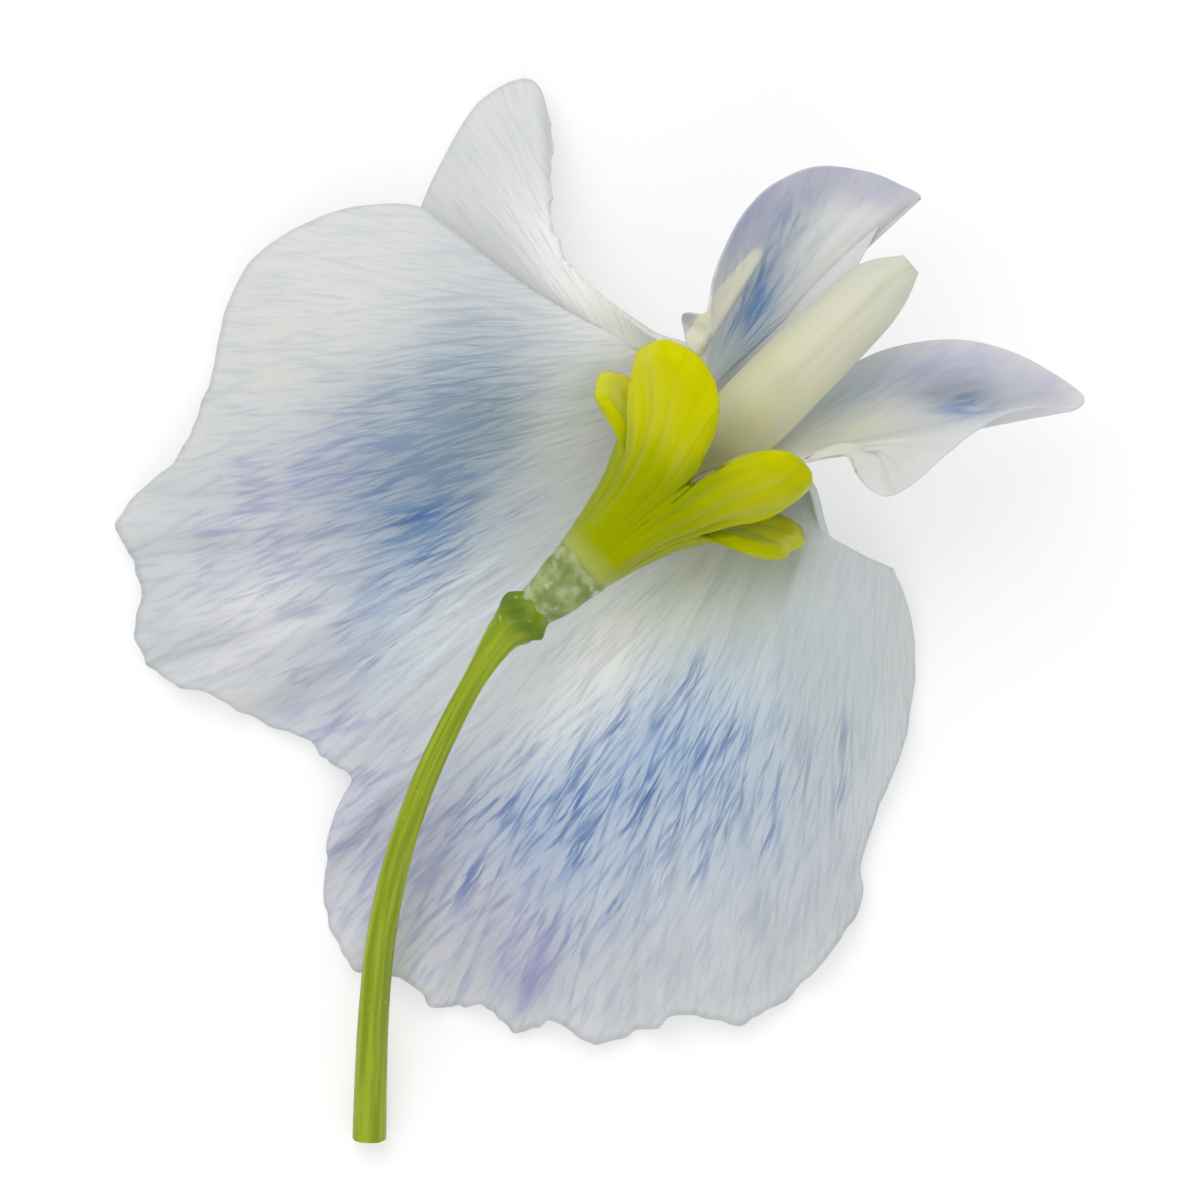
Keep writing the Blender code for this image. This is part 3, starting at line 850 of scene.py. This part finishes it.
def left_wing_paint(x, y):
    fold = left_wing_fold(x, y)[0]
    low = 1 - fold
    arc = np.hypot(x + 1.2, (y - 11.0) * 0.86)
    band = smooth_step(4.6, 6.2, arc) * smooth_step(6.5, 9.5, y) * smooth_step(-1.8, -4.2, x)
    blue = 0.95 * blob(x, y, (-3.9, 8.8), (1.1, 3.2), 25)
    blue = blue + 0.3 * blob(x, y, (-6.0, 12.8), (1.4, 2.4))
    # The grey in the wing's dent is painted shade.
    grey_and_shade = 0.45 * blob(x, y, (-4.0, 8.6), (1.3, 3.2), 25) * low
    return {
        "blue": blue * low,
        "grey_and_shade": grey_and_shade + 0.4 * blob(x, y, (-6.0, 5.6), (0.6, 0.8)),
        "violet": (1.1 * band + 0.8 * blob(x, y, (-6.1, 5.6), (0.7, 0.8))) * low,
        "green": 0.5 * blob(x, y, (-3.4, 5.6), (1.0, 1.0)) * low,
        "cream": 0.8 * fold + 0.5 * smooth_step(5.5, 3.5, y),
        # The pale paint on the fold and near the tip is painted light.
        "painted_light": 0.4 * fold + 0.35 * blob(x, y, (-3.6, 13.5), (1.6, 3.0), 15),
    }


def right_wing_relief(x, y):
    ridge = 0.45 * blob(x, y, (5.4, 14.4), (3.0, 0.9), 45)
    return ridge - 0.55 * blob(x, y, (6.6, 12.9), (2.4, 0.8), 45)


def right_wing_paint(x, y):
    paint = {name: spotted(x, y, spots) for name, spots in RIGHT_WING_SPOTS.items()}
    paint["cream"] = paint["cream"] + 0.4 * smooth_step(7.0, 4.5, y)
    return paint


def keel_petal():
    """A sheet rolled into a boat that is open along its underside, with a seam along its back."""
    turns = np.linspace(-1, 1, 61)
    stations = spline(KEEL_STATIONS, np.linspace(0, 1, 90))
    sheet = np.zeros((len(turns), len(stations), 3))
    for j, (y, x, rise, half_width, roll) in enumerate(stations):
        angle = math.radians(roll)
        radius = max(half_width, 0.2) / angle
        sheet[:, j, 0] = x + radius * np.sin(turns * angle)
        sheet[:, j, 1] = y
        sheet[:, j, 2] = CALYX_HEIGHT + rise - radius * (1 - np.cos(turns * angle))
    along = (stations[:, 0] - CLAW_END) / (stations[-1, 0] - CLAW_END)
    seam = np.exp(-((turns / 0.07) ** 2))[:, None] * smooth_step(0.4, 0.6, along)
    swell = 0.05 * waves(along, (3, 7), (1, 0.6), 2) * np.cos(turns * 2)[:, None]
    sheet[..., 2] += 0.05 * seam + swell
    thickness = thinned(KEEL_THICKNESS, smooth_step(0.8, 1.0, np.abs(turns))[:, None])
    paint = {"tip": np.broadcast_to(along, sheet.shape[:2]), "seam": seam}
    solid("keel_petal_fine", sheet, thickness, "keel_petal", keel_material(), paint)


def seam(turn, width):
    """1 at the seam between the two upper teeth, fading over width degrees to either side."""
    return math.exp(-((between(turn, SEAM_TURN) / width) ** 2))


def between(turn, other):
    """The turn from other to turn in degrees, from -180 to 180."""
    return (turn - other + 180) % 360 - 180


def tooth_wall(turn, rows):
    """Station, radius and turn of the wall beyond the funnel, and how much of a tooth is there.

    A tooth flattens towards its tip.
    """
    centre, longest, lean, sweep, twist, share = turn, 1, FUNNEL_LEAN, 0, 0, 0
    for tooth_turn, *tooth in TEETH:
        off = between(turn, tooth_turn)
        if abs(off) < tooth[1]:
            centre = turn - off
            longest, half_width, lean, sweep, bluntness, twist = tooth
            share = (1 - abs(off / half_width) ** bluntness) ** 0.55
    gap = GAP_LENGTH + SEAM_LENGTH * seam(turn, 18)
    length = gap + (longest - gap) * share
    y, radius = FUNNEL[-1]
    wall = []
    for row in range(rows):
        out = (row + 0.5) / rows * length / longest
        angle = math.radians(FUNNEL_LEAN + (lean - FUNNEL_LEAN) * min(1, 1.4 * out))
        y += length / rows * math.cos(angle)
        radius += length / rows * math.sin(angle)
        downward = math.copysign(1, math.sin(math.radians(centre)))
        lower = math.radians(turn - centre) * radius * downward
        flat = 1 + min(1, 2 * out) * (1 / math.cos(math.radians(turn - centre)) - 1)
        wall.append((y + twist * out * lower, radius * flat, turn + sweep * out))
    return np.array(wall), share


def calyx():
    turns = np.arange(0, 360, 1.0)
    funnel = spline(FUNNEL, np.linspace(0, 1, 22))
    sheet = np.zeros((len(turns), len(funnel) + TOOTH_ROWS, 3))
    tip = np.zeros(sheet.shape[:2])
    shares = np.zeros((len(turns), 1))
    for i, turn in enumerate(turns):
        tooth, share = tooth_wall(turn, TOOTH_ROWS)
        shares[i] = share
        tube = np.column_stack((funnel, np.full(len(funnel), turn)))
        y, r, at = np.concatenate((tube, tooth)).T
        # A rib runs up the funnel to the middle of each tooth, and a groove between teeth.
        rib = sum(math.exp(-((between(turn, tooth_turn) / 8) ** 2)) for tooth_turn, *_ in TEETH)
        groove = math.exp(-((share / 0.5) ** 2))
        r = r + (0.14 * rib - 0.12 * groove) * smooth_step(-6.4, -3.5, y)
        r = r + 0.07 * math.cos(math.radians(turn * 24)) * smooth_step(-5.0, -1.0, y)
        r = r + 0.10 * np.sin(1.3 * y + math.radians(turn * 5)) * smooth_step(-2.5, 1.5, y)
        angle = np.radians(at)
        sheet[i] = np.stack((r * np.sin(angle), y, CALYX_HEIGHT + r * np.cos(angle)), axis=-1)
        tip[i] = smooth_step(-4.5, 5.0, y + 0.55 * (r - 2))
        # Painted shade: the calyx's right side, away from the light, is darker.
        tip[i] *= 0.78 - 0.22 * math.sin(math.radians(turn + 10))
        # Painted shade: darker in the grooves between teeth, most of all at the seam between the
        # two upper teeth.
        tip[i] -= (0.1 + 0.3 * seam(turn, 25)) * groove * smooth_step(-3.5, -0.5, y)
    u = (turns / 360)[:, None]
    at = np.linspace(0, 1, sheet.shape[1])[None, :]
    sheet[..., 2] += waves(u, (7, 12, 23), (0.04, 0.03, 0.02), 5) * smooth_step(0.0, 0.3, at)
    closing = np.sqrt(np.clip(1 - smooth_step(0.88, 1.0, at) ** 2, 0.06, 1))
    fleshy = 0.6 + 0.4 * smooth_step(0.0, 0.1, at)
    fleshy = fleshy + (0.9 * shares - 0.1) * smooth_step(0.4, 0.75, at)
    thickness = CALYX_THICKNESS * closing * fleshy
    # The rim paint is a painted highlight along the teeth's rims.
    paint = {"tip": tip, "rim_highlight": smooth_step(0.90, 1.0, at), "foot": 1 - smooth_step(0.0, 0.09, at)}
    solid("calyx_fine", sheet, thickness, "calyx", calyx_material(), paint, ring=True)


def collar():
    turns = np.linspace(0, math.tau, 120, endpoint=False)
    profile = spline(SLEEVE, np.linspace(0, 1, 40))
    sheet = np.zeros((len(turns), len(profile), 3))
    u = (turns / math.tau)[:, None]
    at = np.linspace(0, 1, len(profile))[None, :]
    radius = profile[:, 1] + waves(u + 0.1 * at, (3, 5, 9), (0.05, 0.04, 0.02), 8)
    radius = radius + 0.03 * np.sin(at * 14 + 9 * u)
    ragged = waves(u, (4, 7, 13), (0.06, 0.04, 0.03), 31)
    sheet[..., 0] = radius * np.sin(turns)[:, None]
    sheet[..., 1] = profile[:, 0] + ragged * (smooth_step(0.6, 1, at) - smooth_step(0.35, 0, at))
    sheet[..., 2] = CALYX_HEIGHT + radius * np.cos(turns)[:, None]
    paint = {"foot": smooth_step(0.7, 1.0, at)}
    material = sleeve_material()
    solid("collar_fine", sheet, COLLAR_THICKNESS, "collar", material, paint, ring=True)


def stalk():
    """A tube round its curved middle line, with ridges, and a ragged knot near its upper end."""
    line = spline(STALK, np.linspace(0, 1, 260))
    centre, radius = line[:, :3], line[:, 3]
    ahead = np.gradient(centre, axis=0)
    ahead /= np.linalg.norm(ahead, axis=1, keepdims=True)
    side = np.cross(ahead, (0, 0, 1))
    side /= np.linalg.norm(side, axis=1, keepdims=True)
    up = np.cross(side, ahead)
    turns = np.linspace(0, math.tau, 48, endpoint=False)[:, None]
    station = line[:, 1]
    knot = np.exp(-(((station - STALK_NODE) / 0.8) ** 2))
    lumps = 0.16 * np.sin(3 * turns + station * 2.3) + 0.13 * np.sin(7 * turns - station * 3.1)
    for height, turn, place, length in KNOT_LUMPS:
        facing = np.maximum(0, np.cos(turns - turn)) ** 6
        lumps = lumps + height * facing * np.exp(-(((station - place) / length) ** 2))
    ridges = 0.035 * np.cos(5 * turns + station * 0.12) + 0.015 * np.sin(11 * turns + station * 0.3)
    r = radius * (1 + ridges * smooth_step(-11, -13, station)) + lumps * knot * radius * 0.8
    skin = (np.cos(turns) * r)[..., None] * side + (np.sin(turns) * r)[..., None] * up + centre
    tube_solid("stalk_fine", skin, centre, knot, stalk_material())


def tube_solid(name, skin, centre, knot, material):
    """A closed solid from a ring of points at each station, capped at both ends."""
    around, along = skin.shape[:2]
    index = np.arange(around * along).reshape(around, along)
    index = np.concatenate((index, index[:1]))
    faces = np.stack((index[:-1, :-1], index[:-1, 1:], index[1:, 1:], index[1:, :-1]), axis=-1)
    faces = faces.reshape(-1, 4).tolist()
    faces.append(index[:-1, 0].tolist())
    faces.append(index[-2::-1, -1].tolist())
    mesh = bpy.data.meshes.new(name)
    mesh.from_pydata((skin.reshape(-1, 3) * MM + np.array(FLOWER)).tolist(), [], faces)
    mesh.shade_smooth()
    mesh.set_sharp_from_angle(angle=math.radians(50))
    far = np.concatenate(([0], np.cumsum(np.linalg.norm(np.diff(centre, axis=0), axis=1))))
    layer = mesh.uv_layers.new(name="UVMap")
    uv = np.zeros((len(mesh.loops), 2))
    corners = np.zeros(len(mesh.loops), int)
    mesh.loops.foreach_get("vertex_index", corners)
    uv[:, 0] = corners // along / around
    uv[:, 1] = far[corners % along]
    layer.uv.foreach_set("vector", uv.ravel())
    data = mesh.attributes.new("knot", "FLOAT", "POINT")
    data.data.foreach_set("value", np.tile(knot, around))
    return show(name, mesh, "stalk", material)


# ---------------------------------------------------------------- the stage


def floor():
    """A whitish floor that glows a little, so that it stays white out to its edges."""
    mesh = bpy.data.meshes.new("floor")
    far = FLOOR_REACH
    corners = ((-far, -far, 0), (far, -far, 0), (far, far, 0), (-far, far, 0))
    mesh.from_pydata(corners, [], [(0, 1, 2, 3)])
    material = bpy.data.materials.new("floor_white")
    material.use_nodes = True
    shader = material.node_tree.nodes["Principled BSDF"]
    shader.inputs["Base Color"].default_value = (FLOOR_GREY, FLOOR_GREY, FLOOR_GREY, 1)
    shader.inputs["Emission Color"].default_value = (1, 1, 1, 1)
    shader.inputs["Emission Strength"].default_value = FLOOR_GLOW
    shader.inputs["Roughness"].default_value = 0.9
    shader.inputs["Specular IOR Level"].default_value = 0.1
    mesh.materials.append(material)
    obj = bpy.data.objects.new("floor", mesh)
    bpy.context.scene.collection.objects.link(obj)


def area_light(name, place, size, power):
    """A round light that faces the origin."""
    light = bpy.data.lights.new(name, "AREA")
    light.shape = "DISK"
    light.size = size
    light.energy = power
    obj = bpy.data.objects.new(name, light)
    obj.location = place
    obj.rotation_euler = (-Vector(place)).to_track_quat("-Z", "Y").to_euler()
    bpy.context.scene.collection.objects.link(obj)


def camera():
    """Looks straight down, turned so that the calyx points to the upper right."""
    middle = FLOWER + Vector(VIEW_CENTRE) * MM
    data = bpy.data.cameras.new("camera")
    data.lens = VIEW_LENS
    data.sensor_width = 36
    data.clip_start = 0.01
    obj = bpy.data.objects.new("camera", data)
    away = VIEW_HEIGHT + VIEW_WIDTH * data.lens / data.sensor_width
    obj.location = middle + Vector((0, 0, away))
    obj.rotation_euler = (0, 0, math.radians(VIEW_TURN))
    bpy.context.scene.collection.objects.link(obj)
    bpy.context.scene.camera = obj


def stage():
    scene = bpy.context.scene
    scene.view_settings.view_transform = "Standard"
    world = bpy.data.worlds.new("studio")
    world.use_nodes = True
    background = world.node_tree.nodes["Background"]
    background.inputs["Color"].default_value = (1, 1, 1, 1)
    background.inputs["Strength"].default_value = WORLD_STRENGTH
    scene.world = world
    for light in LIGHTS:
        area_light(*light)
    floor()


def main():
    standard_petal()
    wing_petal(LEFT_WING_MARGIN, -1, "left_wing_petal", left_wing_paint, left_wing_relief, 14)
    wing_petal(RIGHT_WING_MARGIN, 1, "right_wing_petal", right_wing_paint, right_wing_relief, 17)
    keel_petal()
    calyx()
    collar()
    stalk()
    stage()
    camera()


main()
